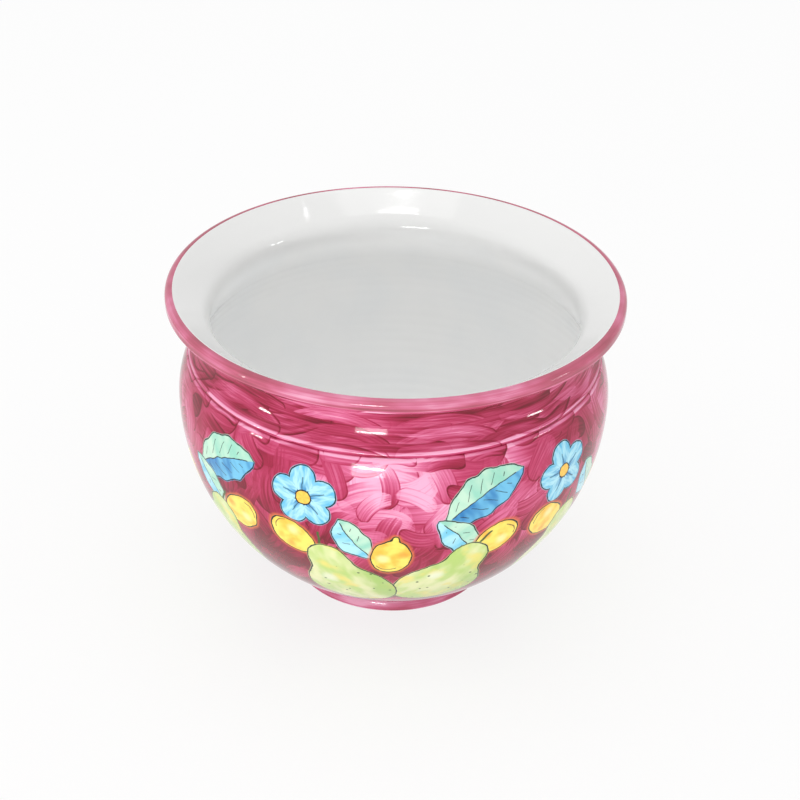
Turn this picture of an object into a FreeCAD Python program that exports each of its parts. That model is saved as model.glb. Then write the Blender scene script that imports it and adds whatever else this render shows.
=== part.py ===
import FreeCAD, Part
import math
import os
import Sketcher

# A glazed earthenware pot cover: a round bowl on a foot ring, with a waisted collar and a rolled lip.
# Millimetres, Z up, origin in the middle of the standing edge. Clay sizes are those under the glaze.

SIZES = [
    # the whole pot
    ("pot_height", 180.6, "standing edge to the top of the lip"),
    ("lip_radius", 124.6, "outermost radius, at the lip"),
    ("coat", 0.4, "thickness of the fired glaze"),
    # rolled lip
    ("roll", 3.0, "radius of the lip's rolled top"),
    ("lip_depth", 6.2, "height of the lip's outer face with its roundings"),
    ("lip_edge", 1.0, "rounding of the lip's lower edge"),
    ("paint_inset", 3.7, "how far inside the lip's face the paint ends and the white lining begins"),
    # neck
    ("overhang", 18.7, "how far the lip stands out past the neck's narrowest place"),
    ("waist_drop", 19.6, "top of the lip down to the narrowest place"),
    ("neck_wall", 4.2, "wall at the narrowest place"),
    ("flare_outside", 8.5, "radius of the curve from the neck out to the lip's underside"),
    ("flare_inside", 11.0, "radius of the curve from the neck up to the sloping flange"),
    # ridge and seam between collar and bowl
    ("ridge_inset", 6.1, "how far the ridge bead lies inside the belly's widest place"),
    ("bead", 1.6, "radius of the ridge bead"),
    ("tuck_share", 1.61, "how far the groove lies below the bead's centre, as a share of how far outside"),
    ("collar_height", 39.7, "top of the lip down to the seam, in the groove under the bead"),
    ("lap_height", 3.0, "height of the bowl's tongue inside the collar"),
    ("lap_cover", 3.3, "how far the outside of that tongue lies inside the ridge"),
    # bowl
    ("belly_inset", 5.3, "how far the belly's widest place lies inside the lip"),
    ("belly_drop", 24.6, "seam down to the widest place"),
    ("shoulder_step", 1.1, "how far the shoulder's edge stands out past the ridge"),
    ("shoulder_drop", 1.5, "seam down to the shoulder's edge"),
    ("belly_wall", 5.2, "wall at the widest place and down the flank"),
    ("floor_wall", 6.6, "thickness of the floor"),
    ("floor_curve", 30.0, "radius of the curve from the floor up to the flank"),
    # foot ring
    ("foot_height", 7.4, "height of the foot ring"),
    ("foot_radius", 57.0, "outermost radius of the foot ring"),
    ("foot_spread", 2.6, "how far the ring's outer face spreads from the bowl down to that radius"),
    ("foot_width", 6.6, "width of the foot ring between its outermost and inner faces"),
    ("toe", 1.4, "rounding at both sides of the standing edge"),
    ("bare_edge", 0.7, "height to which the standing edge is left without glaze"),
    # tools of the drawing
    ("overrun", 5.0, "how far the blocks that part the coats reach past them"),
]

# Radii and levels worked out from those sizes, in the words of the sheet.
PAINT_RADIUS = "(Sizes.lip_radius - Sizes.paint_inset)"
WAIST_RADIUS = "(Sizes.lip_radius - Sizes.overhang)"
BELLY_RADIUS = "(Sizes.lip_radius - Sizes.belly_inset)"
BELLY_IN_RADIUS = "(%s - Sizes.belly_wall)" % BELLY_RADIUS
WAIST_IN_RADIUS = "(%s - Sizes.neck_wall)" % WAIST_RADIUS
RIDGE_RADIUS = "(%s - Sizes.ridge_inset)" % BELLY_RADIUS
GROOVE_REACH = "Sizes.bead / sqrt(1 + Sizes.tuck_share ^ 2)"
LAP_RADIUS = "(%s - Sizes.lap_cover)" % RIDGE_RADIUS
BASE_RADIUS = "(Sizes.foot_radius - Sizes.foot_spread)"
WAIST_LEVEL = "(Sizes.pot_height - Sizes.waist_drop)"
SEAM_LEVEL = "(Sizes.pot_height - Sizes.collar_height)"
LAP_LEVEL = "(%s + Sizes.lap_height)" % SEAM_LEVEL
BELLY_LEVEL = "(%s - Sizes.belly_drop)" % SEAM_LEVEL
LAP_SHARE = "(%s - %s) / (%s - %s)" % (LAP_LEVEL, BELLY_LEVEL, WAIST_LEVEL, BELLY_LEVEL)
FLANK_SPAN = "(%s - %s)" % (BELLY_RADIUS, BASE_RADIUS)
FLANK_RISE = "(%s - Sizes.foot_height)" % BELLY_LEVEL
FLANK = "(%s ^ 2 + %s ^ 2) / (2 * %s)" % (FLANK_SPAN, FLANK_RISE, FLANK_SPAN)

# Places that several pieces share, as a radius and a level.
ROLL_CENTRE = ("Sizes.lip_radius - Sizes.roll", "Sizes.pot_height - Sizes.roll")
LIP_FACE_TOP = ("Sizes.lip_radius", "Sizes.pot_height - Sizes.roll")
EDGE_LEVEL = "Sizes.pot_height - Sizes.lip_depth + Sizes.lip_edge"
LIP_FACE_FOOT = ("Sizes.lip_radius", EDGE_LEVEL)
EDGE_CENTRE = ("Sizes.lip_radius - Sizes.lip_edge", EDGE_LEVEL)
WAIST = (WAIST_RADIUS, WAIST_LEVEL)
FLARE_CENTRE = (WAIST_RADIUS + " + Sizes.flare_outside", WAIST_LEVEL)
WAIST_IN = (WAIST_IN_RADIUS, WAIST_LEVEL)
FLARE_IN_CENTRE = (WAIST_IN_RADIUS + " + Sizes.flare_inside", WAIST_LEVEL)
BEAD_CENTRE = (RIDGE_RADIUS + " - Sizes.bead", "%s + %s * Sizes.tuck_share" % (SEAM_LEVEL, GROOVE_REACH))
GROOVE = ("%s + %s" % (BEAD_CENTRE[0], GROOVE_REACH), SEAM_LEVEL)
LAP_FOOT = (LAP_RADIUS, SEAM_LEVEL)
LAP_TOP = (LAP_RADIUS, LAP_LEVEL)
SEAM_IN = ("%s - (%s - %s) * %s" % (BELLY_IN_RADIUS, BELLY_IN_RADIUS, WAIST_IN_RADIUS, LAP_SHARE), LAP_LEVEL)
SHOULDER = (RIDGE_RADIUS + " + Sizes.shoulder_step", SEAM_LEVEL + " - Sizes.shoulder_drop")
BELLY = (BELLY_RADIUS, BELLY_LEVEL)
BELLY_IN = (BELLY_IN_RADIUS, BELLY_LEVEL)
BASE = (BASE_RADIUS, "Sizes.foot_height")
FLOOR_LEVEL = "Sizes.foot_height + Sizes.floor_wall"
FOOT_OUT = ("Sizes.foot_radius", "Sizes.toe")
FOOT_INNER = "Sizes.foot_radius - Sizes.foot_width"
OUTER_TOE = "Sizes.foot_radius - Sizes.toe"
INNER_TOE = FOOT_INNER + " + Sizes.toe"
TOE_LEVEL = "Sizes.toe"

# The side of each drawn line on which its coat lies.
OUTSIDE_SIDE = -1
LINING_SIDE = 1
UNDERSIDE_SIDE = -1


def fill_sheet(doc):
    """The driving sizes, one row each: name, value, what it is."""
    sheet = doc.addObject("Spreadsheet::Sheet", "Sizes")
    for row, (name, value, note) in enumerate(SIZES, start=1):
        sheet.set("A%d" % row, name)
        sheet.set("B%d" % row, str(value))
        sheet.set("C%d" % row, note)
        sheet.setAlias("B%d" % row, name)
    doc.recompute()
    return sheet


class Section:
    """Half of a turned section, drawn as one chain of lines and arcs, radius across and height up.

    A held place is a pair of expressions. A found place is a plain vector, which a smooth joint or a
    single held coordinate settles.
    """

    def __init__(self, sketch, start):
        self.sketch = sketch
        self.start = start
        self.here = self.place(start)
        self.edges = []

    def value(self, expression):
        return float(self.sketch.evalExpression(expression))

    def place(self, point):
        if isinstance(point, tuple):
            return FreeCAD.Vector(self.value(point[0]), self.value(point[1]), 0)
        return point

    def bind(self, constraint, expression):
        index = self.sketch.addConstraint(constraint)
        name = "size_%d" % index
        self.sketch.renameConstraint(index, name)
        self.sketch.setExpression("Constraints." + name, expression)

    def hold(self, edge, end, axis, expression):
        """Hold one coordinate of an edge's end, on the sketch's own axis where it is zero."""
        if expression == "0":
            own_axis = -2 if axis == "DistanceX" else -1
            self.sketch.addConstraint(Sketcher.Constraint("PointOnObject", edge, end, own_axis))
            return
        self.bind(Sketcher.Constraint(axis, -1, 1, edge, end, self.value(expression)), expression)

    def hold_place(self, edge, end, point):
        if isinstance(point, tuple):
            self.hold(edge, end, "DistanceX", point[0])
            self.hold(edge, end, "DistanceY", point[1])

    def join(self, edge, tail, head, point, smooth):
        """Join a new edge to the chain and hold its far end."""
        if self.edges:
            last, _, last_head = self.edges[-1]
            kind = "Tangent" if smooth else "Coincident"
            self.sketch.addConstraint(Sketcher.Constraint(kind, last, last_head, edge, tail))
        else:
            self.hold_place(edge, tail, self.start)
        self.hold_place(edge, head, point)
        self.edges.append((edge, tail, head))
        self.here = self.place(point)

    def line(self, point, smooth=False, level=False):
        edge = self.sketch.addGeometry(Part.LineSegment(self.here, self.place(point)), False)
        if level:
            self.sketch.addConstraint(Sketcher.Constraint("Horizontal", edge))
        self.join(edge, 1, 2, point, smooth)

    def arc(self, point, centre, smooth=False, radius=None):
        """An arc of under half a turn. A centre of (None, height) is held by its height only."""
        head = self.place(point)
        middle = centre
        if isinstance(centre, tuple):
            level = self.value(centre[1])
            across = level_centre(self.here, head, level) if centre[0] is None else self.value(centre[0])
            middle = FreeCAD.Vector(across, level, 0)
        first = self.here - middle
        last = head - middle
        leftward = first.cross(last).z > 0
        begin, end = (first, last) if leftward else (last, first)
        circle = Part.Circle(middle, FreeCAD.Vector(0, 0, 1), first.Length)
        bow = Part.ArcOfCircle(circle, math.atan2(begin.y, begin.x), math.atan2(end.y, end.x))
        edge = self.sketch.addGeometry(bow, False)
        if isinstance(centre, tuple):
            if centre[0] is not None:
                self.hold(edge, 3, "DistanceX", centre[0])
            self.hold(edge, 3, "DistanceY", centre[1])
        if radius is not None:
            self.bind(Sketcher.Constraint("Radius", edge, first.Length), radius)
        tail_end, head_end = (1, 2) if leftward else (2, 1)
        self.join(edge, tail_end, head_end, point, smooth)

    def hold_tail(self, axis, expression):
        """Hold one coordinate of the place where the chain begins."""
        edge, tail, _ = self.edges[0]
        self.hold(edge, tail, axis, expression)

    def hold_head(self, axis, expression):
        """Hold one coordinate of the place where the chain has got to."""
        edge, _, head = self.edges[-1]
        self.hold(edge, head, axis, expression)

    def join_ends(self):
        first, first_tail, _ = self.edges[0]
        last, _, last_head = self.edges[-1]
        self.sketch.addConstraint(Sketcher.Constraint("Coincident", last, last_head, first, first_tail))

    def close_with_line(self):
        self.line(self.place(self.start))
        self.join_ends()


def level_centre(one, other, level):
    """Radius of the centre, at a given height, of a circle through two points."""
    rise_one = one.y - level
    rise_other = other.y - level
    gap = one.x ** 2 + rise_one ** 2 - other.x ** 2 - rise_other ** 2
    return gap / (2 * (one.x - other.x))


def tangent_points(centre_one, radius_one, centre_other, radius_other, turn):
    """Where one line touches two circles. A negative radius puts the line on the circle's far side."""
    between = centre_other - centre_one
    lean = math.acos((radius_one - radius_other) / between.Length)
    angle = math.atan2(between.y, between.x) + math.copysign(lean, turn)
    normal = FreeCAD.Vector(math.cos(angle), math.sin(angle), 0)
    return centre_one + normal * radius_one, centre_other + normal * radius_other


def draw_lip_face(section):
    """Down the lip's outer face from the roll, round its lower edge and in along the underside."""
    edge_centre = section.place(EDGE_CENTRE)
    flare_centre = section.place(FLARE_CENTRE)
    lip_edge = section.value("Sizes.lip_edge")
    flare = section.value("Sizes.flare_outside")
    edge_end, flare_start = tangent_points(edge_centre, lip_edge, flare_centre, -flare, 1)
    section.line(LIP_FACE_FOOT)
    section.arc(edge_end, EDGE_CENTRE)
    section.line(flare_start, smooth=True)


def draw_neck(section):
    """In to the waist, out again to the ridge, and round the bead into the groove at the seam."""
    waist = section.place(WAIST)
    bead_centre = section.place(BEAD_CENTRE)
    bead = section.value("Sizes.bead")
    across = waist.x - bead_centre.x
    rise = waist.y - bead_centre.y
    sweep = (across ** 2 + rise ** 2 - bead ** 2) / (2 * (bead - across))
    sweep_centre = FreeCAD.Vector(waist.x + sweep, waist.y, 0)
    bead_start = bead_centre + (sweep_centre - bead_centre) * (bead / (sweep + bead))
    section.arc(WAIST, FLARE_CENTRE, smooth=True)
    section.arc(bead_start, (None, WAIST_LEVEL))
    section.arc(GROOVE, BEAD_CENTRE, smooth=True)


def draw_flank(section):
    """From the groove over the shoulder's edge, round the belly and down to the base."""
    groove = section.place(GROOVE)
    shoulder = section.place(SHOULDER)
    belly = section.place(BELLY)
    middle = FreeCAD.Vector(level_centre(belly, shoulder, belly.y), belly.y, 0)
    outward = (shoulder - middle).normalize()
    chord = shoulder - groove
    turn_in = chord.Length ** 2 / (2 * outward.dot(chord))
    section.arc(SHOULDER, shoulder - outward * turn_in)
    section.arc(BELLY, (None, BELLY_LEVEL), smooth=True)
    section.arc(BASE, (None, BELLY_LEVEL))


def draw_foot_face(section):
    """Down the rounded outside of the foot ring."""
    section.arc(FOOT_OUT, (None, TOE_LEVEL))


def draw_inside_bowl(section):
    """From the axis out over the floor, up the flank and the shoulder to the top of the tongue."""
    belly_in = section.place(BELLY_IN)
    flank_in = section.value(FLANK) - section.value("Sizes.belly_wall")
    flank_centre = FreeCAD.Vector(belly_in.x - flank_in, belly_in.y, 0)
    curve = section.value("Sizes.floor_curve")
    rise = section.here.y + curve - flank_centre.y
    across = math.sqrt((flank_in - curve) ** 2 - rise ** 2)
    curve_centre = flank_centre + FreeCAD.Vector(across, rise, 0)
    floor_end = FreeCAD.Vector(curve_centre.x, section.here.y, 0)
    flank_start = flank_centre + (curve_centre - flank_centre) * (flank_in / (flank_in - curve))
    section.line(floor_end, level=True)
    section.arc(flank_start, curve_centre, smooth=True, radius="Sizes.floor_curve")
    section.arc(BELLY_IN, (None, BELLY_LEVEL), smooth=True, radius=FLANK + " - Sizes.belly_wall")
    section.arc(SEAM_IN, (None, BELLY_LEVEL))


def draw_inside_collar(section):
    """From the seam up to the inner waist, round into the sloping flange and up to the roll."""
    roll_centre = section.place(ROLL_CENTRE)
    flare_centre = section.place(FLARE_IN_CENTRE)
    roll = section.value("Sizes.roll")
    flare = section.value("Sizes.flare_inside")
    roll_start, flange_start = tangent_points(roll_centre, roll, flare_centre, flare, -1)
    section.arc(WAIST_IN, (None, WAIST_LEVEL))
    section.arc(flange_start, FLARE_IN_CENTRE)
    section.line(roll_start, smooth=True)


def new_body(doc, name):
    body = doc.addObject("PartDesign::Body", name)
    body.Label = name
    return body


def origin_plane(body, role):
    return next(item for item in body.Origin.OriginFeatures if item.Role == role)


def body_sketch(body, name):
    sketch = body.newObject("Sketcher::SketchObject", name)
    sketch.AttachmentSupport = [(origin_plane(body, "XZ_Plane"), "")]
    sketch.MapMode = "FlatFace"
    return sketch


def turn_body(body, sketch):
    """Turn a closed section once round the axis."""
    turned = body.newObject("PartDesign::Revolution", body.Name + "_turned")
    turned.Profile = sketch
    turned.ReferenceAxis = (sketch, ["V_Axis"])
    turned.Angle = 360
    sketch.Document.recompute()
    return turned


def make_bowl(doc):
    """The thrown bowl, with a tongue at its top that the collar is luted over."""
    body = new_body(doc, "bowl")
    sketch = body_sketch(body, "bowl_section")
    section = Section(sketch, GROOVE)
    draw_flank(section)
    section.line(("0", BASE[1]))
    section.line(("0", FLOOR_LEVEL))
    draw_inside_bowl(section)
    section.line(LAP_TOP)
    section.line(LAP_FOOT)
    section.close_with_line()
    turn_body(body, sketch)
    return body


def make_collar(doc):
    """The waisted neck with its flange, rolled lip and ridge bead, thrown as one ring."""
    body = new_body(doc, "collar")
    sketch = body_sketch(body, "collar_section")
    section = Section(sketch, LIP_FACE_TOP)
    draw_lip_face(section)
    draw_neck(section)
    section.line(LAP_FOOT)
    section.line(LAP_TOP)
    section.line(SEAM_IN)
    draw_inside_collar(section)
    section.arc(section.place(LIP_FACE_TOP), ROLL_CENTRE, smooth=True)
    section.join_ends()
    turn_body(body, sketch)
    return body


def make_foot_ring(doc):
    """The ring that the bowl stands on, with a flat standing edge between two rounded toes."""
    body = new_body(doc, "foot_ring")
    sketch = body_sketch(body, "foot_section")
    section = Section(sketch, BASE)
    draw_foot_face(section)
    section.arc(section.place((OUTER_TOE, "0")), (OUTER_TOE, TOE_LEVEL))
    section.hold_head("DistanceX", OUTER_TOE)
    section.line((INNER_TOE, "0"))
    section.arc(section.place((FOOT_INNER, TOE_LEVEL)), (INNER_TOE, TOE_LEVEL))
    section.hold_head("DistanceY", TOE_LEVEL)
    section.line((FOOT_INNER, BASE[1]))
    section.close_with_line()
    turn_body(body, sketch)
    return body


def face_sketch(doc, name):
    """An open line on the plane through the axis, for a coat that follows it."""
    sketch = doc.addObject("Sketcher::SketchObject", name)
    sketch.Placement = FreeCAD.Placement(FreeCAD.Vector(), FreeCAD.Rotation(FreeCAD.Vector(1, 0, 0), 90))
    return sketch


def turn_coat(doc, sketch, name, side):
    """Lay the coat's thickness on one side of a line and turn it round the axis."""
    skin = doc.addObject("Part::Offset2D", name + "_skin")
    skin.Source = sketch
    skin.Mode = "Skin"
    skin.Join = "Intersection"
    skin.Fill = True
    skin.setExpression("Value", "Sizes.coat * %d" % side)
    coat = doc.addObject("Part::Revolution", name)
    coat.Source = skin
    coat.Axis = FreeCAD.Vector(0, 0, 1)
    coat.Base = FreeCAD.Vector(0, 0, 0)
    coat.Angle = 360
    coat.Label = name
    doc.recompute()
    return coat


def toe_place(section, centre, outward):
    """Where the bare standing edge begins on a toe."""
    middle = section.place(centre)
    toe = section.value("Sizes.toe")
    drop = toe - section.value("Sizes.bare_edge")
    return middle + FreeCAD.Vector(outward * math.sqrt(toe ** 2 - drop ** 2), -drop, 0)


def paint_place(section):
    """Where the white lining meets the painted lip, on the inner side of the roll."""
    middle = section.place(ROLL_CENTRE)
    across = section.value(PAINT_RADIUS) - middle.x
    return middle + FreeCAD.Vector(across, math.sqrt(section.value("Sizes.roll") ** 2 - across ** 2), 0)


def make_lining(doc):
    """The white coat of the whole inside, from the middle of the floor to the top of the roll."""
    sketch = face_sketch(doc, "lining_line")
    section = Section(sketch, ("0", FLOOR_LEVEL))
    draw_inside_bowl(section)
    draw_inside_collar(section)
    section.arc(paint_place(section), ROLL_CENTRE, smooth=True, radius="Sizes.roll")
    section.hold_head("DistanceX", PAINT_RADIUS)
    return turn_coat(doc, sketch, "inside_glaze", LINING_SIDE)


def make_underside(doc):
    """The white coat of the foot's recess."""
    sketch = face_sketch(doc, "underside_line")
    probe = Section(sketch, (INNER_TOE, TOE_LEVEL))
    section = Section(sketch, toe_place(probe, (INNER_TOE, TOE_LEVEL), -1))
    section.arc((FOOT_INNER, TOE_LEVEL), (INNER_TOE, TOE_LEVEL))
    section.hold_tail("DistanceY", "Sizes.bare_edge")
    section.line((FOOT_INNER, BASE[1]))
    section.line(("0", BASE[1]))
    return turn_coat(doc, sketch, "underside_glaze", UNDERSIDE_SIDE)


def make_outside(doc):
    """The painted coat of the whole outside, from the roll down to the bare standing edge."""
    sketch = face_sketch(doc, "outside_line")
    probe = Section(sketch, ROLL_CENTRE)
    section = Section(sketch, paint_place(probe))
    section.arc(LIP_FACE_TOP, ROLL_CENTRE)
    section.hold_tail("DistanceX", PAINT_RADIUS)
    draw_lip_face(section)
    draw_neck(section)
    draw_flank(section)
    draw_foot_face(section)
    section.arc(toe_place(section, (OUTER_TOE, TOE_LEVEL), 1), (OUTER_TOE, TOE_LEVEL))
    section.hold_head("DistanceY", "Sizes.bare_edge")
    return turn_coat(doc, sketch, "outside_coat", OUTSIDE_SIDE)


def cut_zone(doc, coat, name, bottom, top):
    """The part of a coat between two levels, which is one field of the painter's work."""
    block = doc.addObject("Part::Cylinder", name + "_block")
    block.setExpression("Radius", "Sizes.lip_radius + Sizes.overrun")
    block.setExpression("Height", "%s - (%s)" % (top, bottom))
    block.setExpression("Placement.Base.z", bottom)
    zone = doc.addObject("Part::Common", name)
    zone.Base = coat
    zone.Tool = block
    zone.Label = name
    doc.recompute()
    return zone


def check(doc, pieces):
    """Stop on any object that failed, and on any piece that is not one valid solid."""
    for item in doc.Objects:
        if "Invalid" in item.State or "Error" in item.State:
            raise RuntimeError("%s failed: %s" % (item.Name, item.State))
    for piece in pieces:
        if piece.Shape.isNull() or not piece.Shape.isValid() or len(piece.Shape.Solids) != 1:
            raise RuntimeError("%s is not one valid solid" % piece.Label)


def main():
    doc = FreeCAD.newDocument("Cachepot")
    fill_sheet(doc)
    outside = make_outside(doc)
    pieces = [
        make_bowl(doc),
        make_collar(doc),
        make_foot_ring(doc),
        make_lining(doc),
        make_underside(doc),
        cut_zone(doc, outside, "lip_glaze", EDGE_LEVEL, "Sizes.pot_height + Sizes.overrun"),
        cut_zone(doc, outside, "neck_glaze", SEAM_LEVEL, EDGE_LEVEL),
        cut_zone(doc, outside, "belly_glaze", "Sizes.foot_height", SEAM_LEVEL),
        cut_zone(doc, outside, "foot_glaze", "0", "Sizes.foot_height"),
    ]
    doc.recompute()
    check(doc, pieces)
    os.makedirs("parts", exist_ok=True)
    for piece in pieces:
        piece.Shape.exportStep("parts/%s.step" % piece.Label)
        box = piece.Shape.optimalBoundingBox()
        print("%-16s %9.0f mm3  across %6.1f  from %6.1f up to %6.1f" % (
            piece.Label, piece.Shape.Volume, box.XLength, box.ZMin, box.ZMax))


main()
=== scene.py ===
import math

import bmesh
import bpy
from mathutils import Matrix, Vector


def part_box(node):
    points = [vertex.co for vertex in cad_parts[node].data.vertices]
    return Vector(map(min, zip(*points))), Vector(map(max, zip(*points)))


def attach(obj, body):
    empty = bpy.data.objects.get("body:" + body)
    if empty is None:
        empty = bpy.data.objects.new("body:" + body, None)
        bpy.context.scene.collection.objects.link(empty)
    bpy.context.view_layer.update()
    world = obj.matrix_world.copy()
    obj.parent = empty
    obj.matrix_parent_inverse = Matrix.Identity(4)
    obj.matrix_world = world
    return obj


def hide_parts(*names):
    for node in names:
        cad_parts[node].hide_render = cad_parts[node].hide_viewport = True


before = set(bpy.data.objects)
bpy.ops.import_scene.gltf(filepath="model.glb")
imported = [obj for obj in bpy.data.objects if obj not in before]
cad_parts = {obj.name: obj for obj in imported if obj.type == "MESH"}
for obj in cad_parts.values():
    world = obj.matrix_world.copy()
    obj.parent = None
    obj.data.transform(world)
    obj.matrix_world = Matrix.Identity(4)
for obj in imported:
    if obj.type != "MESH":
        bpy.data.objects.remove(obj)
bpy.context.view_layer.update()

# Thrown clay.
# The bowl, the collar luted onto it and the foot ring are pale earthenware, thrown on the wheel and fired
# once before glazing. The clay shows only on the narrow edge that the pot stands on.


TO_MM = 1000


class Wash:
    """A number, place or colour that changes over a surface. Sums and products of it add their nodes."""

    MIX_SHARE, MIX_FIRST, MIX_SECOND, MIX_COLOUR_OUT = 0, 6, 7, 2

    def __init__(self, socket):
        self.socket = socket

    def node(self, kind, settings, values, output=0):
        """Add a node with its settings or its ramp's stops, then the values or links of its sockets."""
        tree = self.socket.id_data
        made = tree.nodes.new(kind)
        for name, value in settings.items():
            if name == "stops":
                elements = made.color_ramp.elements
                while len(elements) < len(value):
                    elements.new(0.5)
                for element, (position, colour) in zip(elements, value):
                    element.position = position
                    element.color = colour
            else:
                setattr(made, name, value)
        for name, value in values.items():
            if isinstance(value, Wash):
                tree.links.new(value.socket, made.inputs[name])
            else:
                made.inputs[name].default_value = value
        return Wash(made.outputs[output])

    def math(self, operation, *others):
        return self.node("ShaderNodeMath", {"operation": operation}, dict(enumerate((self, *others))))

    def vector(self, operation, *others, output=0):
        values = dict(enumerate((self, *others)))
        return self.node("ShaderNodeVectorMath", {"operation": operation}, values, output)

    def __add__(self, other):
        return self.math("ADD", other)

    __radd__ = __add__

    def __sub__(self, other):
        return self.math("SUBTRACT", other)

    def __rsub__(self, other):
        return self.math("MULTIPLY_ADD", -1.0, other)

    def __mul__(self, other):
        return self.math("MULTIPLY", other)

    __rmul__ = __mul__

    def __truediv__(self, other):
        return self.math("DIVIDE", other)

    def __abs__(self):
        return self.math("ABSOLUTE")

    def ease(self, low, high, start=0.0, end=1.0):
        """Go smoothly from start to end while this goes from low to high."""
        values = {"Value": self, "From Min": low, "From Max": high, "To Min": start, "To Max": end}
        return self.node("ShaderNodeMapRange", {"interpolation_type": "SMOOTHSTEP"}, values)

    def under(self, colour, amount):
        """This colour with another laid over it, as thickly as the amount says."""
        values = {self.MIX_SHARE: amount, self.MIX_FIRST: self, self.MIX_SECOND: colour}
        return self.node("ShaderNodeMix", {"data_type": "RGBA"}, values, self.MIX_COLOUR_OUT)

    def blend(self, first, second):
        """Two colours run together wet, from the first to the second while this goes from 0 to 1."""
        values = {self.MIX_SHARE: self, self.MIX_FIRST: first, self.MIX_SECOND: second}
        return self.node("ShaderNodeMix", {"data_type": "RGBA"}, values, self.MIX_COLOUR_OUT)

    def turned(self, angle):
        """A place on the flat, turned about its middle."""
        values = {"Vector": self, "Angle": angle}
        return self.node("ShaderNodeVectorRotate", {"rotation_type": "Z_AXIS"}, values)

    def stretched(self, *scale):
        return self.vector("MULTIPLY", scale)

    def length(self):
        return self.vector("LENGTH", output=1)

    def parts(self):
        """The three numbers of a place."""
        split = self.node("ShaderNodeSeparateXYZ", {}, {0: self}).socket.node
        return [Wash(socket) for socket in split.outputs]

    def joined(self, second, third=0.0):
        """A place made of three numbers."""
        return self.node("ShaderNodeCombineXYZ", {}, {0: self, 1: second, 2: third})

    def cloud(self, size, detail=2.0, output=0):
        """Soft variation about a half. Its patches are about as large as size."""
        values = {"Vector": self, "Scale": 1 / size, "Detail": detail}
        return self.node("ShaderNodeTexNoise", {}, values, output)

    def luck(self, output=0):
        """Chance numbers that depend on this place alone: one for output 0 or three for output 1."""
        return self.node("ShaderNodeTexWhiteNoise", {}, {"Vector": self}, output)


def tint(red, green, blue):
    """A colour from a glaze chart, which counts from 0 to 255."""
    shares = [value / 255 for value in (red, green, blue)]
    return (*(s / 12.92 if s <= 0.04045 else ((s + 0.055) / 1.055) ** 2.4 for s in shares), 1.0)


def new_finish(name, roughness, refraction=1.42):
    """A material and the place on the piece in millimetres."""
    finish = bpy.data.materials.new(name)
    finish.use_nodes = True
    body = finish.node_tree.nodes["Principled BSDF"]
    body.inputs["IOR"].default_value = refraction
    body.inputs["Roughness"].default_value = roughness
    place = Wash(finish.node_tree.nodes.new("ShaderNodeTexCoord").outputs["Object"])
    return finish, place.stretched(TO_MM, TO_MM, TO_MM)


def fire(finish, colour, height):
    """Give a material its colour and its relief, a height in millimetres."""
    body = finish.node_tree.nodes["Principled BSDF"]
    bump = height.node("ShaderNodeBump", {}, {"Height": height, "Distance": 1 / TO_MM, "Strength": 1.0})
    finish.node_tree.links.new(colour.socket, body.inputs["Base Color"])
    finish.node_tree.links.new(bump.socket, body.inputs["Normal"])


def wear(piece, finish):
    """Give a piece one material all over."""
    piece.data.materials.clear()
    piece.data.materials.append(finish)


biscuit, place = new_finish("biscuit_clay", roughness=0.85)
mottle = place.cloud(size=9).ease(0.35, 0.65)
fired_clay = mottle.blend(tint(222, 184, 154), tint(206, 160, 128))
clay_grain = 0.08
fire(biscuit, fired_clay, place.cloud(size=1.2, detail=3) * clay_grain)
for name in ("bowl", "collar", "foot_ring"):
    wear(bpy.data.objects[name], biscuit)

# White lining.
# Tin glaze poured into the pot and out again, so one coat covers the floor, the flank, the waist and the
# sloping flange up to the roll of the lip, where it lies thinnest. Faint finger rings show through it.

TURN_STEPS = 224
WELD = 0.000001
CREASE = math.radians(40)
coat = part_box("lip_glaze")[1].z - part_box("collar")[1].z
pot_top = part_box("lip_glaze")[1].z
lip_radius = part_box("lip_glaze")[1].x
floor_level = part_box("inside_glaze")[0].z + coat
roll = 0.0034
waist_level = 0.161
waist_in = 0.1013
flare_in = 0.0114
belly_level = 0.1163
belly_in = 0.1137
neck_in_bend = 0.0336
shoulder_in_bend = 0.0532
flank_in = 0.1182
floor_curve = 0.0296
flank_centre_radius = -0.0045
paint_lean = math.radians(13.5)
coat_share = 0.9


def at(radius, level):
    """A place beside the axis."""
    return Vector((radius, 0, level))


def touch(one, one_radius, other, other_radius, side):
    """Where one straight line touches two circles; a circle of negative radius is touched on its far side."""
    between = other - one
    angle = math.atan2(between.z, between.x) + side * math.acos((one_radius - other_radius) / between.length)
    outward = at(math.cos(angle), math.sin(angle))
    return one + outward * one_radius, other + outward * other_radius


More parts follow.
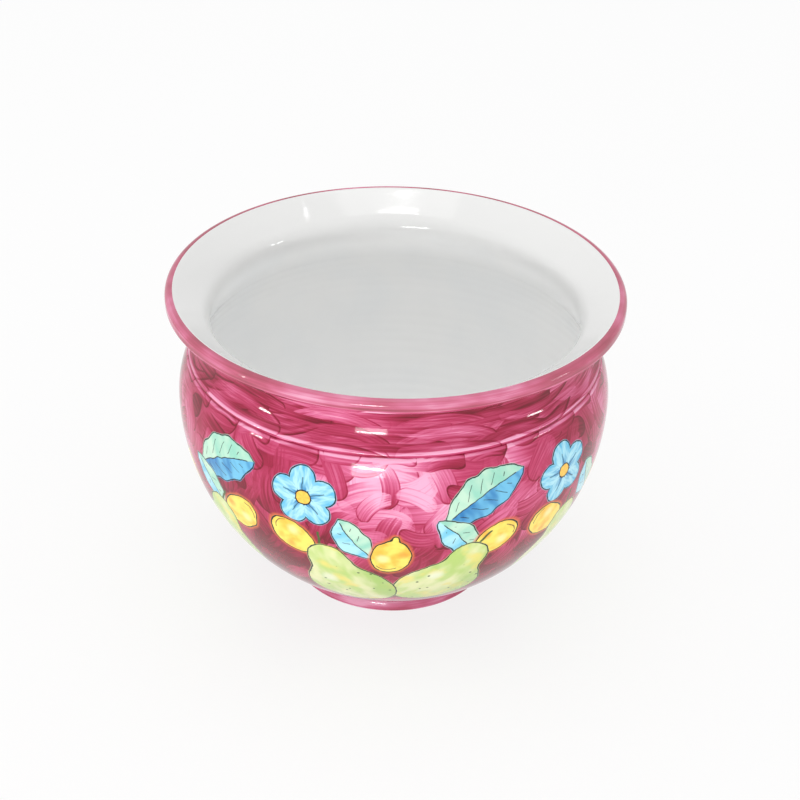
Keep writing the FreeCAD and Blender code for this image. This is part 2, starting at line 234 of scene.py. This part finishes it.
class Coat:
    """A coat of glaze: its line is drawn beside the axis, turned on the wheel and given its thickness."""

    def __init__(self, name, start, grain):
        bpy.ops.object.select_all(action="DESELECT")
        bpy.ops.mesh.primitive_plane_add(size=grain, location=start)
        bpy.ops.object.transform_apply(location=True)
        self.piece = bpy.context.object
        self.piece.name = name
        self.piece.data.name = name
        self.grain = grain
        self.tip = start
        bpy.ops.object.mode_set(mode="EDIT")
        bpy.ops.mesh.select_mode(type="VERT")
        bpy.ops.mesh.select_all(action="SELECT")
        bpy.ops.mesh.merge(type="CENTER")

    def straight(self, end):
        """Go straight on to a place."""
        steps = max(1, round((end - self.tip).length / self.grain))
        for _ in range(steps):
            bpy.ops.mesh.extrude_vertices_move(TRANSFORM_OT_translate={"value": (end - self.tip) / steps})
        self.tip = end

    def bend(self, centre, end, finest=6):
        """Round an arc of under half a turn about a centre."""
        first = self.tip - centre
        last = end - centre
        sweep = math.atan2(first.x * last.z - first.z * last.x, first.dot(last))
        steps = max(finest, round(abs(sweep) * first.length / self.grain))
        bpy.ops.mesh.spin(steps=steps, angle=sweep, center=centre, axis=(0, 1, 0))
        self.tip = end

    def press_rings(self, pitch, depth, top):
        """Press shallow finger rings into the line, from a little off the axis up to a level."""
        mesh = bmesh.from_edit_mesh(self.piece.data)
        mesh.verts.ensure_lookup_table()
        places = [vertex.co.copy() for vertex in mesh.verts]
        walked = 0.0
        for vertex, before, after in zip(mesh.verts[1:-1], places, places[2:]):
            walked += (vertex.co - before).length
            along = (after - before).normalized()
            fade = min(1.0, walked / pitch) * min(1.0, max(0.0, (top - after.z) / pitch))
            press = math.sin(math.tau * walked / pitch + math.sin(walked / pitch)) * depth * fade
            vertex.co += Vector((-along.z, 0, along.x)) * press
        bmesh.update_edit_mesh(self.piece.data)

    def turn(self, side=-1):
        """Spin the line once round the axis, then thicken it: side -1 is behind its faces, 1 before them."""
        bpy.ops.mesh.select_all(action="SELECT")
        bpy.ops.mesh.spin(steps=TURN_STEPS, angle=math.tau, center=(0, 0, 0), axis=(0, 0, 1))
        bpy.ops.mesh.select_all(action="SELECT")
        bpy.ops.mesh.remove_doubles(threshold=WELD)
        bpy.ops.mesh.normals_make_consistent(inside=False)
        bpy.ops.object.mode_set(mode="OBJECT")
        thickness = self.piece.modifiers.new("thickness", "SOLIDIFY")
        thickness.thickness = coat * coat_share
        thickness.offset = side
        bpy.ops.object.modifier_apply(modifier="thickness")
        bpy.ops.object.shade_smooth_by_angle(angle=CREASE)
        return self.piece


roll_centre = at(lip_radius - roll, pot_top - roll)
paint_edge = roll_centre + at(-math.sin(paint_lean), math.cos(paint_lean)) * roll
flare_in_centre = at(waist_in + flare_in, waist_level)
roll_start, flange_start = touch(roll_centre, roll, flare_in_centre, flare_in, -1)
flank_centre = at(flank_centre_radius, belly_level)
curve_rise = floor_level + floor_curve - belly_level
curve_reach = math.sqrt((flank_in - floor_curve) ** 2 - curve_rise ** 2)
curve_centre = flank_centre + at(curve_reach, curve_rise)
curve_end = flank_centre + (curve_centre - flank_centre) * flank_in / (flank_in - floor_curve)
shoulder_in_centre = at(belly_in - shoulder_in_bend, belly_level)
neck_in_centre = at(waist_in + neck_in_bend, waist_level)
seam_in = shoulder_in_centre.lerp(neck_in_centre, shoulder_in_bend / (shoulder_in_bend + neck_in_bend))

lining_coat = Coat("white_lining", at(0, floor_level), grain=0.0013)
lining_coat.straight(at(curve_centre.x, floor_level))
lining_coat.bend(curve_centre, curve_end)
lining_coat.bend(flank_centre, at(belly_in, belly_level))
lining_coat.bend(shoulder_in_centre, seam_in)
lining_coat.bend(neck_in_centre, at(waist_in, waist_level))
lining_coat.bend(flare_in_centre, flange_start)
lining_coat.straight(roll_start)
lining_coat.bend(roll_centre, paint_edge, finest=12)
lining_coat.press_rings(pitch=0.0062, depth=0.00007, top=waist_level - 0.012)
lining = lining_coat.turn()

white_glaze, place = new_finish("white_tin_glaze", roughness=0.07)
pooled = place.cloud(size=38).ease(0.35, 0.7)
white = pooled.blend(tint(251, 251, 250), tint(248, 249, 249))
under_waist = waist_level * TO_MM - 9
over_waist = waist_level * TO_MM + 3
# The sloping flange is greyer than the wall below: partly thinner glaze and partly painted shade that tones
# down the upward-facing flange.
thin_glaze_and_shade_on_flange = place.parts()[2].ease(under_waist, over_waist)
white = white.under(tint(225, 225, 224), thin_glaze_and_shade_on_flange)
glaze_swell = 0.2
fire(white_glaze, white, place.cloud(size=22, detail=1) * glaze_swell)
wear(lining, white_glaze)
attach(lining, "root")
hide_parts("inside_glaze")

# Painted lip.
# The rolled edge of the collar, banded by a loaded brush while the pot turned, so its pink lies in level
# streaks. It runs from the white on the inner side of the roll to a crisp lower edge, where it pooled; the
# darkening there is partly painted shade, and a paler painted highlight runs along the very edge.

lip_edge = 0.0014
lip_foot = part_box("lip_glaze")[0].z
edge_centre = at(lip_radius - lip_edge, lip_foot)

lip_coat = Coat("lip_band", paint_edge, grain=0.0004)
lip_coat.bend(roll_centre, at(lip_radius, pot_top - roll))
lip_coat.straight(at(lip_radius, lip_foot))
lip = lip_coat.turn()


def banded(name, low, pool_and_shade_height):
    """Pink laid on while the pot turned: darker towards its lower edge, partly pooled glaze and partly
    painted shade, and paler on the very edge, partly thin glaze and partly a painted highlight.
    """
    finish, place = new_finish(name, roughness=0.07)
    level = place.parts()[2]
    streaks = place.stretched(0.02, 0.02, 1.3).cloud(size=1, detail=4)
    patches = place.stretched(0.035, 0.035, 0.12).cloud(size=1, detail=2)
    pooled_glaze_and_shade = level.ease(low, low + pool_and_shade_height, 0.34, 0.0)
    thin_rim_and_highlight = level.ease(low + 0.9, low + 0.2, 0.0, 0.4)
    return finish, place, streaks * 0.8 + patches * 1.5 - 0.78 + pooled_glaze_and_shade - thin_rim_and_highlight


def heavier_behind(place, amount):
    """Painted shade: more stain on the pot's sides and back than on its front, darkening them as if less
    light reached them.
    """
    front, side = -108.0, -35.0
    return place.parts()[1].ease(front, side, 0.0, amount)


def shade(depth):
    """The colour of pink stain on white glaze: from a thin wash at 0 to a heavy one at 1."""
    stops = ((0.0, tint(242, 173, 204)), (0.25, tint(217, 106, 148)), (0.5, tint(187, 57, 99)),
             (0.75, tint(156, 26, 63)), (1.0, tint(114, 8, 34)))
    return depth.node("ShaderNodeValToRGB", {"stops": stops}, {0: depth})


def brush_rings(place):
    """The height of the fine level ridges that a brush leaves on a turning pot."""
    return place.stretched(0.02, 0.02, 0.8).cloud(size=1, detail=2) * 0.03


dusty = tint(186, 128, 140)
lip_glaze, place, depth = banded("pink_lip_glaze", low=lip_foot * TO_MM, pool_and_shade_height=2.2)
# Painted shade: the lip's sides and back are stained darker than its front.
depth = depth + heavier_behind(place, 0.16)
fire(lip_glaze, shade(depth + 0.04).under(dusty, 0.34), brush_rings(place))
wear(lip, lip_glaze)
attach(lip, "root")
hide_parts("lip_glaze")

# Neck.
# The waisted part of the collar, from the lip's edge down to the groove under the ridge bead. It is brushed
# crimson in long level strokes that overlap, and between them the white glaze glows through.

flare_out = 0.0081
waist_out = 0.1063
neck_bend = 0.0257
bead = 0.002
bead_centre = at(0.1116, 0.14226)
flare_centre = at(waist_out + flare_out, waist_level)
neck_centre = at(waist_out + neck_bend, waist_level)
edge_end, flare_start = touch(edge_centre, lip_edge, flare_centre, -flare_out, 1)
bead_start = bead_centre.lerp(neck_centre, bead / (bead + neck_bend))
shoulder_edge = 0.00306
shoulder_edge_centre = at(0.11188, 0.1383)


def meet(one, one_radius, other, other_radius):
    """The outer one of the two places where two circles cross."""
    between = other - one
    reach = (one_radius ** 2 - other_radius ** 2 + between.length_squared) / (2 * between.length)
    across = Vector((-between.z, 0, between.x)).normalized() * math.sqrt(one_radius ** 2 - reach ** 2)
    return one + between.normalized() * reach + (across if across.x > 0 else -across)


groove = meet(bead_centre, bead, shoulder_edge_centre, shoulder_edge)

neck_coat = Coat("brushed_neck", at(lip_radius, lip_foot), grain=0.0006)
neck_coat.bend(edge_centre, edge_end)
neck_coat.straight(flare_start)
neck_coat.bend(flare_centre, at(waist_out, waist_level))
neck_coat.bend(neck_centre, bead_start)
neck_coat.bend(bead_centre, groove, finest=12)
neck = neck_coat.turn()


def round_the_pot(place):
    """The angle about the axis, 0 at the front and half a turn at the back, the radius and the level."""
    across, back, level = place.parts()
    angle = across.math("ARCTAN2", back * -1.0)
    return angle, place.stretched(1, 1, 0).length(), level


def strokes(depth, angle, height, girth_at, room, brush, lean, seed):
    """Lay separate brush strokes over a depth of colour, one in each cell of a grid round the pot.

    room is the length round the pot and the height of a cell, brush the most that a stroke's half
    length and half width are, and lean how a stroke is turned at a cell's height, and how far it strays.
    """
    length_room, height_room = room
    half_length, full_half_width = brush
    offset = seed * 0.37
    rows = height / height_room + offset
    row = rows.math("FLOOR")
    middle = (row + 0.5 - offset) * height_room
    girth = girth_at(middle)
    count = (girth / length_room).math("ROUND")
    columns = (angle / math.tau + 0.5) * count
    column = columns.math("FLOOR")
    cell = column.joined(row, seed)
    slide, rise, swing = cell.luck(output=1).parts()
    load, bow, width = cell.vector("ADD", (9.5, 3.5, 50.0)).luck(output=1).parts()
    slack = height_room * 0.25
    level_way = (columns - column - 0.5) * (girth / count) + (slide - 0.5) * slack
    local = level_way.joined((rows - row - 0.5) * height_room + (rise - 0.5) * slack)
    along, aside, _ = local.turned(lean(cell, middle, swing)).parts()
    aside = aside + along * along * ((bow - 0.5) * (0.8 / half_length))
    half_width = width.ease(0, 1, full_half_width * 0.62, full_half_width)
    past_straight = (abs(along) - (half_length - half_width)).math("MAXIMUM", 0.0)
    edge = past_straight.joined(aside).length() - half_width
    bristles = (along * 0.03).joined(aside * 0.75, load * 97.0).cloud(size=1, detail=3)
    wet_rim = edge.ease(-1.3, -0.1) * along.ease(-half_length, half_length, 0.02, 0.4)
    heavy = load * 0.5 + along * (0.2 / half_length) + (bristles - 0.5) * 0.9 + wet_rim + 0.18
    inside = edge.ease(0.25, -0.3)
    dry_start = (bristles + along * (0.5 / half_length)).ease(-0.05, 0.3, 0.2, 0.92)
    return depth + (heavy - depth) * (inside * dry_start)


def neck_girth(middle):
    """The distance round the neck, taken as the same at every level."""
    neck_radius = 111.0
    return middle * 0.0 + math.tau * neck_radius


def level_lean(cell, middle, swing):
    """Level strokes that stray by a few degrees."""
    return (swing - 0.5) * 0.12


crimson_glaze, place = new_finish("crimson_neck_glaze", roughness=0.06)
angle, _, level = round_the_pot(place)
depth = place.stretched(0.02, 0.02, 0.4).cloud(size=1, detail=3) * 0.9
for layer in range(5):
    room = (86.0 - 7 * layer, 12.0 - layer)
    brush = (room[0] * 0.48, room[1] * 0.44)
    depth = strokes(depth, angle, level, neck_girth, room, brush, level_lean, seed=layer + 0.2)
broad_patches = place.stretched(0.02, 0.02, 0.06).cloud(size=1, detail=2) - 0.5
fine_streaks = place.stretched(0.02, 0.02, 1.6).cloud(size=1, detail=3) - 0.5
depth = depth + broad_patches * 1.6
depth = depth + fine_streaks * 0.6 + 0.09
# Painted shade: the neck's sides and back are stained darker than its front.
depth = depth + heavier_behind(place, 0.12)
crest = bead_centre.z * TO_MM + 1.1
# The bead's crest is paler, partly thin glaze and partly a painted highlight; the groove under it is darker,
# partly pooled glaze and partly painted shade.
thin_glaze_and_highlight_on_crest = abs(level - crest).ease(1.0, 0.3, 0.0, 0.5)
pooled_glaze_and_shade_in_groove = level.ease(crest - 1.4, crest - 2.1, 0.0, 0.14)
depth = depth - thin_glaze_and_highlight_on_crest + pooled_glaze_and_shade_in_groove
neck_swell = 0.022
fire(crimson_glaze, shade(depth), place.stretched(0.03, 0.03, 0.7).cloud(size=1, detail=2) * neck_swell)
wear(neck, crimson_glaze)
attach(neck, "root")
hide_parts("neck_glaze")

# Belly.
# The bowl's outside from the groove down to the foot, painted freehand: a crimson ground of short curved
# brush strokes, and over it five bunches of fruit, leaves and blossom. Each shape is washed in, then inked.

belly_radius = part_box("belly_glaze")[1].x
shoulder_bend = 0.05626
flank_out = belly_radius - flank_centre_radius
shoulder_centre = at(belly_radius - shoulder_bend, belly_level)
shoulder = shoulder_edge_centre + (shoulder_edge_centre - shoulder_centre).normalized() * shoulder_edge
foot_bend = 0.00862
toe_level = 0.0014
foot_centre = at(0.04878, toe_level)
base_corner = meet(flank_centre, flank_out, foot_centre, foot_bend)

belly_coat = Coat("painted_belly", groove, grain=0.001)
belly_coat.bend(shoulder_edge_centre, shoulder)
belly_coat.bend(shoulder_centre, at(belly_radius, belly_level))
belly_coat.bend(flank_centre, base_corner)
belly = belly_coat.turn()

flank_arc = flank_out * TO_MM
axis_gap = flank_centre_radius * TO_MM


def belly_girth(middle):
    """The distance round the belly, at a height measured along its curve from its widest level."""
    return ((middle / flank_arc).math("COSINE") * flank_arc + axis_gap) * math.tau


def fanned_lean(cell, middle, swing):
    """Level strokes close under the ridge. Lower down they fan out, neighbours alike."""
    fan = cell.stretched(0.31, 0.31, 0.31).cloud(size=1, detail=1)
    return (fan * 7.0 - 2.2 + swing * 1.1) * middle.ease(20.0, 6.0)


belly_glaze, place = new_finish("crimson_belly_glaze", roughness=0.06)
angle, radius, level = round_the_pot(place)
height = (level - belly_level * TO_MM).math("ARCTAN2", radius - axis_gap) * flank_arc
depth = place.cloud(size=16) * 0.8 + 0.1
for layer, size in enumerate((38.0, 34.0, 35.0, 31.0, 33.0, 28.0, 25.0)):
    room = (size, size)
    brush = (size * 0.47, size * 0.27)
    depth = strokes(depth, angle, height, belly_girth, room, brush, fanned_lean, seed=layer + 0.6)
broad_patches = place.cloud(size=60, detail=1) - 0.5
depth = depth + broad_patches * 1.1 + height.ease(12.0, -60.0, 0.12, 0.28)
# Painted shade: the belly's sides and back are stained darker than its front.
depth = depth + heavier_behind(place, 0.22)
edge_level = shoulder_edge_centre.z * TO_MM + 1.9
# The shoulder's edge is paler, partly thin glaze and partly a painted highlight; the groove above it is
# darker, partly pooled glaze and partly painted shade.
thin_glaze_and_highlight_on_edge = abs(level - edge_level).ease(1.1, 0.3, 0.0, 0.4)
pooled_glaze_and_shade_in_groove = level.ease(edge_level + 0.3, edge_level + 0.8, 0.0, 0.1)
depth = depth - thin_glaze_and_highlight_on_edge + pooled_glaze_and_shade_in_groove

BUNCHES = 5
PEN = tint(24, 22, 30)
bunch_place = angle * (BUNCHES / math.tau) + 0.5
bunch = bunch_place.math("FLOOR")
bunch_angle = (bunch_place - bunch - 0.5) * (math.tau / BUNCHES)
open_ground = (bunch_angle * 1.2).joined((height + 4.0) / 100.0).length()
ground = shade(depth - open_ground.ease(0.5, 0.12, 0.0, 0.34))
wobble = place.cloud(size=7, detail=3, output=1).vector("SUBTRACT", (0.5, 0.5, 0.5)).stretched(2.4, 2.4, 0)


def motif(x, y, turn):
    """The place beside the middle of a motif, which stands x round the pot and y up from the widest level."""
    most_shift, most_lift, most_twist = 4.0, 3.0, 0.24
    girth_radius = math.cos(y / flank_arc) * flank_arc + axis_gap
    shift, lift, twist = bunch.joined(x, y).luck(output=1).parts()
    across = (bunch_angle - x / girth_radius) * radius + (shift - 0.5) * most_shift
    local = across.joined(height - y + (lift - 0.5) * most_lift)
    return local.turned((twist - 0.5) * most_twist - math.radians(turn)).vector("ADD", wobble)


def washed(colour, wash, edge, bleed=0.5):
    """Fill a shape with a wash that runs a little past its line. edge is the distance outside it."""
    return colour.under(wash, edge.ease(bleed + 0.35, bleed - 0.35))


def inked(colour, edge, line=0.34):
    """Draw the line of a shape with a fine black brush."""
    return colour.under(PEN, abs(edge).ease(line + 0.18, line - 0.16))


def disc(local, x, y, size):
    """The distance outside a disc."""
    return local.vector("DISTANCE", (x, y, 0), output=1) - size


def oval(local, long_half, short_half):
    """About the distance outside an oval."""
    return (local.stretched(1 / long_half, 1 / short_half, 0).length() - 1) * short_half


def pear(colour, x, y, turn):
    """A green pear with its stalk, flushed yellow in places and finely specked."""
    local = motif(x, y, turn)
    belly_of_pear = disc(local, 0, -9, 24.0)
    top_of_pear = disc(local, 0, 22, 11.0)
    edge = belly_of_pear.math("SMOOTH_MIN", top_of_pear, 19.0)
    across, along, _ = local.parts()
    stalk_side = abs(across - (along - 32) * 0.25) - 0.75
    stalk = stalk_side + along.ease(42.0, 44.0, 0.0, 3.0) + along.ease(33.0, 31.0, 0.0, 3.0)
    colour = colour.under(tint(72, 92, 40), stalk.ease(0.3, -0.3))
    runs = local.stretched(1, 0.45, 1).vector("ADD", (x * 9.0, y * 5.0, 0)).cloud(size=11)
    wash = runs.ease(0.32, 0.62).blend(tint(228, 232, 176), tint(184, 212, 116))
    sunny = local.vector("ADD", (y, x, 40)).cloud(size=14)
    wash = wash.under(tint(236, 222, 118), sunny.ease(0.5, 0.72, 0.0, 0.85))
    wash = wash.under(tint(146, 188, 92), across.ease(4.0, 21.0, 0.0, 0.5))
    wash = wash.under(tint(240, 244, 222), disc(local, -8, 2, 0).ease(7.0, 1.0, 0.0, 0.7))
    specks = local.node("ShaderNodeTexVoronoi", {}, {"Vector": local, "Scale": 0.16})
    wash = wash.under(tint(58, 84, 40), specks.ease(0.15, 0.09, 0.0, 0.9))
    colour = washed(colour, wash, edge)
    return inked(colour, edge)


def lemon(colour, x, y, turn):
    """A lemon with its nipple, an orange bleed round it, and one crease in its skin."""
    local = motif(x, y, turn)
    edge = oval(local, 13.5, 10.5).math("SMOOTH_MIN", disc(local, 14.5, 0, 1.8), 3.0)
    colour = colour.under(tint(222, 110, 62), edge.ease(2.4, 0.4, 0.0, 0.75))
    flush = local.vector("ADD", (x, y, 7)).cloud(size=8)
    wash = flush.ease(0.35, 0.7).blend(tint(253, 228, 104), tint(248, 190, 66))
    wash = wash.under(tint(255, 244, 178), disc(local, -2, 4, 0).ease(5.0, 1.0, 0.0, 0.7))
    wash = wash.under(tint(236, 146, 48), disc(local, 3, -6, 0).ease(4.0, 0.5, 0.0, 0.6))
    colour = washed(colour, wash, edge, bleed=0.3)
    crease = abs(disc(local, -4, 1, 7.0)) + local.parts()[0].ease(-9.0, -8.0, 0.0, 2.0)
    colour = colour.under(PEN, crease.ease(0.45, 0.15, 0.0, 0.8))
    return inked(colour, edge)


def leaf(colour, x, y, turn, half, breadth, near, far):
    """A leaf of two washes, near and far from its midrib's hollow side, each a pair of colours."""
    local = motif(x, y, turn)
    along, aside, _ = local.parts()
    aside = aside + along * along * (0.12 / half) - 1.5
    swell = (half ** 2 + breadth ** 2) / (2 * breadth)
    folded = along.joined(abs(aside) + (swell - breadth))
    edge = folded.length() - swell + (along * 0.5).math("SINE") * 0.5
    flow = along.joined(aside * 0.3, x).cloud(size=9).ease(0.35, 0.65)
    wash = flow.blend(*near).under(flow.blend(*far), aside.ease(-0.3, 0.3))
    colour = washed(colour, wash, edge)
    midrib = abs(aside) + abs(along).ease(half * 0.8, half * 0.9, 0.0, 2.0)
    colour = colour.under(PEN, midrib.ease(0.42, 0.16))
    vein_pitch = 7.5
    vein = (along - abs(aside) * 0.9) / vein_pitch
    vein = abs(vein - vein.math("FLOOR") - 0.5) * vein_pitch
    vein = vein + abs(aside).ease(2.6, 2.0, 0.0, 2.0) + edge.ease(-3.4, -2.6, 0.0, 2.0)
    colour = colour.under(PEN, vein.ease(0.42, 0.16, 0.0, 0.85))
    return inked(colour, edge)


def blossom(colour, x, y, turn, size):
    """A flower of five like petals round a yellow heart."""
    petals = 5
    local = motif(x, y, turn)
    across, along, _ = local.parts()
    petal = across.math("ARCTAN2", along) * (petals / math.tau) + 0.5
    off_petal = (petal - petal.math("FLOOR") - 0.5) * (math.tau / petals)
    reach = local.length()
    folded = (reach * off_petal.math("COSINE")).joined(reach * off_petal.math("SINE"))
    edge = disc(folded, size * 0.6, 0, size * 0.42)
    flow = folded.stretched(0.4, 1.6, 0).vector("ADD", (0, 0, y)).cloud(size=4)
    wash = flow.ease(0.3, 0.7).blend(tint(180, 230, 242), tint(92, 184, 222))
    deep_throat = reach.ease(size * 0.7, size * 0.2, 0.0, 0.9) * flow.ease(0.35, 0.65)
    wash = wash.under(tint(34, 116, 180), deep_throat)
    colour = washed(colour, wash, edge)
    colour = inked(colour, edge)
    fold = abs(off_petal) * reach + reach.ease(size * 0.66, size * 0.72, 0.0, 2.0)
    colour = colour.under(PEN, fold.ease(0.4, 0.15, 0.0, 0.7))
    heart = reach - size * 0.24
    colour = washed(colour, flow.blend(tint(253, 226, 98), tint(240, 164, 60)), heart, bleed=0.1)
    return inked(colour, heart)


deep_blue = (tint(36, 118, 182), tint(112, 190, 226))
turquoise = (tint(110, 198, 228), tint(176, 230, 242))
mint = (tint(196, 230, 206), tint(150, 212, 190))

painting = leaf(ground, x=50, y=-1, turn=28, half=25, breadth=13, near=deep_blue, far=mint)
painting = leaf(painting, x=34, y=-24, turn=-52, half=17, breadth=9, near=turquoise, far=mint)
painting = leaf(painting, x=-18, y=-24, turn=118, half=16, breadth=9, near=mint, far=turquoise)
painting = blossom(painting, x=-46, y=-3, turn=10, size=18)
painting = lemon(painting, x=-52, y=-32, turn=-35)
painting = lemon(painting, x=58, y=-31, turn=215)
painting = pear(painting, x=30, y=-62, turn=-22)
painting = lemon(painting, x=2, y=-36, turn=80)
painting = pear(painting, x=-26, y=-63, turn=14)

belly_swell = 0.06
fire(belly_glaze, painting, place.stretched(0.05, 0.05, 0.3).cloud(size=1) * belly_swell)
wear(belly, belly_glaze)
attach(belly, "root")
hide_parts("belly_glaze")

# Foot.
# The ring that the pot stands on, banded pink outside down to its rounded toe. Its standing edge was wiped
# bare, so that it wouldn't stick to the kiln shelf.

toe = 0.0018
toe_centre = at(0.0556, toe_level)
bare_lean = math.radians(30)
foot_radius = toe_centre.x + toe

foot_coat = Coat("foot_band", base_corner, grain=0.0004)
foot_coat.bend(foot_centre, at(foot_radius, toe_level))
foot_coat.bend(toe_centre, toe_centre + at(math.cos(bare_lean), -math.sin(bare_lean)) * toe)
foot = foot_coat.turn()

# Painted shade and highlight as on the lip: darker towards the toe, paler on its very edge.
foot_glaze, place, depth = banded("pink_foot_glaze", low=0.5, pool_and_shade_height=3.0)
# Painted light: the foot band is stained lighter, making up for the little light on its down-facing face.
fire(foot_glaze, shade(depth - 0.18).under(dusty, 0.3), brush_rings(place))
wear(foot, foot_glaze)
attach(foot, "root")
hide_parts("foot_glaze")

# Underside.
# The recess inside the foot ring, glazed white like the lining, so that it can be wiped. Its coat runs from
# the inner side of the standing edge up the ring and across the bottom of the bowl.

recess_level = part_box("underside_glaze")[1].z - coat
inner_toe_centre = at(0.0518, toe_level)
recess_radius = inner_toe_centre.x - toe
recess_corner = 0.0015
corner_centre = at(recess_radius - recess_corner, recess_level - recess_corner)
inner_toe_edge = inner_toe_centre + at(-math.cos(bare_lean), -math.sin(bare_lean)) * toe

under_coat = Coat("white_underside", inner_toe_edge, grain=0.0012)
under_coat.bend(inner_toe_centre, at(recess_radius, toe_level))
under_coat.straight(at(recess_radius, corner_centre.z))
under_coat.bend(corner_centre, at(corner_centre.x, recess_level))
under_coat.straight(at(0, recess_level))
under = under_coat.turn(side=1)
wear(under, white_glaze)
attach(under, "root")
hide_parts("underside_glaze")

# Floor, lights and camera.
# A white table under a pale sky. Window and lamp fronts stand low round the pot and over it, where the glaze
# mirrors them as the photographed one does: on neck and belly, on the ridge and on the sloping flange.

bpy.ops.object.select_all(action="DESELECT")
bpy.ops.mesh.primitive_plane_add(size=60.0)
table = bpy.context.object
table.name = "table"
paper = bpy.data.materials.new("white_paper")
paper.use_nodes = True
tree = paper.node_tree
paper_body = tree.nodes["Principled BSDF"]
paper_body.inputs["Base Color"].default_value = tint(242, 242, 242)
paper_body.inputs["Roughness"].default_value = 0.9


def seen_directly(tree):
    """One for what the camera sees, straight or by mirror or glass, and none for the light on the pot."""
    ray = Wash(tree.nodes.new("ShaderNodeLightPath").outputs["Is Camera Ray"])
    rays = ray.socket.node.outputs
    return (ray + Wash(rays["Is Glossy Ray"]) + Wash(rays["Is Transmission Ray"])).math("MINIMUM", 1.0)


seen = seen_directly(tree)
whiteness = 0.8
glow = seen.node("ShaderNodeEmission", {}, {"Strength": 1.0})
surfaces = {0: seen * whiteness, 1: Wash(paper_body.outputs[0]), 2: glow}
mixed = seen.node("ShaderNodeMixShader", {}, surfaces)
tree.links.new(mixed.socket, tree.nodes["Material Output"].inputs["Surface"])
table.data.materials.append(paper)

sky = bpy.data.worlds.new("studio")
bpy.context.scene.world = sky
sky.use_nodes = True
backdrop = sky.node_tree.nodes["Background"]
backdrop.inputs["Color"].default_value = (1, 1, 1, 1)
seen = seen_directly(sky.node_tree)
way = Wash(sky.node_tree.nodes.new("ShaderNodeTexCoord").outputs["Generated"])
left_light, right_light = 0.93, 0.78
light = way.parts()[0].ease(-1.0, 1.0, left_light, right_light)
sky.node_tree.links.new((light + (1.0 - light) * seen).socket, backdrop.inputs["Strength"])


def softbox(name, azimuth, elevation, distance, width, height, power):
    """A lamp with a cloth front, turned to the middle of the pot. Azimuth and elevation are seen from it."""
    middle = Vector((0, 0, 0.1))
    azimuth, elevation = math.radians(azimuth), math.radians(elevation)
    level_way = Vector((math.cos(azimuth), math.sin(azimuth), 0)) * math.cos(elevation)
    way = level_way + Vector((0, 0, math.sin(elevation)))
    lamp = bpy.data.lights.new(name, "AREA")
    lamp.shape = "RECTANGLE"
    lamp.size = width
    lamp.size_y = height
    lamp.energy = power
    stand = bpy.data.objects.new(name, lamp)
    stand.location = middle + way * distance
    stand.rotation_euler = way.to_track_quat("Z", "Y").to_euler()
    bpy.context.scene.collection.objects.link(stand)


softbox("overhead", azimuth=-90, elevation=98, distance=2.0, width=1.1, height=1.1, power=5.5)
softbox("front_window", azimuth=-101, elevation=5.5, distance=2.02, width=0.58, height=0.46, power=8)
softbox("front_strip", azimuth=-101, elevation=8, distance=2.0, width=0.5, height=0.045, power=5)
softbox("left_window", azimuth=-168, elevation=28, distance=2.2, width=1.0, height=0.7, power=0.6)
softbox("right_window", azimuth=-11, elevation=9, distance=2.0, width=0.34, height=0.1, power=3.0)
softbox("ceiling_tube", azimuth=-92, elevation=84.5, distance=1.9, width=0.36, height=0.026, power=0.6)
softbox("ceiling_tube_right", azimuth=11, elevation=66, distance=2.05, width=0.018, height=0.02, power=0.04)
for number, azimuth, elevation in ((1, -162.6, 5.8), (2, -160.0, 6.6), (3, -157.4, 7.4)):
    name = "ceiling_lamp_" + str(number)
    softbox(name, azimuth, elevation, distance=2.0, width=0.035, height=0.045, power=0.9)

camera_distance = 1.04
camera_rise = math.radians(33.76)
camera_dip = math.radians(-2.15)
camera_yaw = math.radians(-0.24)
camera_roll = math.radians(1.44)
aim_level = 0.06
camera = bpy.data.cameras.new("camera")
camera.sensor_width = 36
camera.lens = 81
eye = bpy.data.objects.new("camera", camera)
eye_back = camera_distance * math.cos(camera_rise)
eye_level = aim_level + camera_distance * math.sin(camera_rise)
eye.location = (0, -eye_back, eye_level)
tilt = Matrix.Rotation(math.pi / 2 - camera_rise - camera_dip, 3, "X")
swing = Matrix.Rotation(camera_yaw, 3, "Z") @ tilt
eye.rotation_euler = (swing @ Matrix.Rotation(camera_roll, 3, "Z")).to_euler()
bpy.context.scene.collection.objects.link(eye)
bpy.context.scene.camera = eye
bpy.context.scene.view_settings.view_transform = "Standard"
